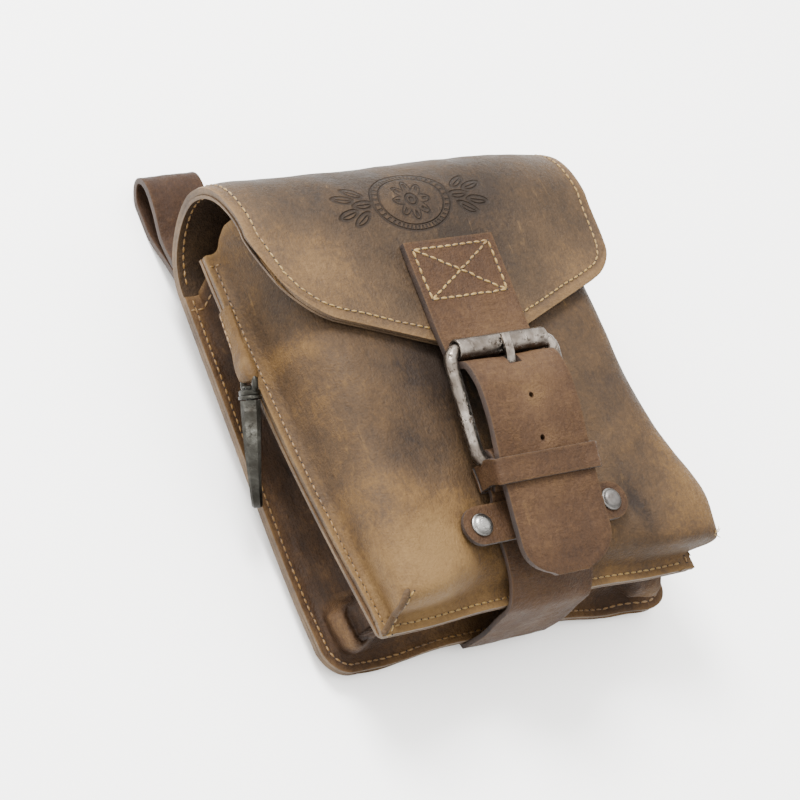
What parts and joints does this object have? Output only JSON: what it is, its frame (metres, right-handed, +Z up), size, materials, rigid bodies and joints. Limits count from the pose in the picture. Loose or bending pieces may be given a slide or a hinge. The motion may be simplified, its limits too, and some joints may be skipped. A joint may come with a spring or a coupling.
{
  "type": "leather belt bag",
  "caption": "Small brown leather belt bag with a pointed flap, a roller buckle strap, belt loops on the back and a side snap hook, lying on its back.",
  "frame": {"origin": "middle of the footprint, on the ground that the bag lies on", "axes": "+X to the wearer's left as seen in the picture's right, +Y from the bottom seam up to the belt loops, +Z up, out of the front of the bag"},
  "size_m": [0.19, 0.2296, 0.0897],
  "materials": {
    "body_leather": "waxed, scuffed mid-brown leather",
    "lining_leather": "rough dark brown inner leather",
    "gusset_leather": "creased dark brown leather",
    "strap_leather": "worn reddish-brown strap leather",
    "antique_nickel": "aged, pitted nickel with worn bright edges",
    "dark_steel": "dark aged steel"
  },
  "bodies": {
    "bag": {"back_and_flap": "body_leather", "front_panel": "body_leather", "flap_lining": "lining_leather", "gusset": "gusset_leather", "flap_strap": "strap_leather", "lower_strap": "strap_leather", "keeper_loop": "strap_leather", "cross_band": "strap_leather", "belt_loop_left": "strap_leather", "belt_loop_right": "strap_leather", "hook_tab": "strap_leather", "rivet_left": "antique_nickel", "rivet_right": "antique_nickel", "buckle_frame": "antique_nickel", "prong": "antique_nickel", "hook_eye": "dark_steel"},
    "buckle_tube": {"roller": "antique_nickel"},
    "hook_body": {"snap_hook": "dark_steel"},
    "gate": {"hook_gate": "dark_steel"}
  },
  "joints": [
    {"name": "roller_spin", "type": "hinge", "parent": "bag", "child": "buckle_tube", "pos_m": [0.00505, -0.01385, 0.08273], "axis": [1, 0, 0], "continuous": true},
    {"name": "hook_swivel", "type": "hinge", "parent": "bag", "child": "hook_body", "pos_m": [-0.08642, -0.0026, 0.0379], "axis": [-0.0936, -0.9116, -0.4003], "continuous": true},
    {"name": "hook_gate_swing", "type": "hinge", "parent": "hook_body", "child": "gate", "pos_m": [-0.08531, -0.01372, 0.02925], "axis": [-0.8194, 0.2989, -0.4891], "range_deg": [0, 17], "stiffness_Nm_per_rad": 0.05, "springref_deg": -8.59}
  ]
}
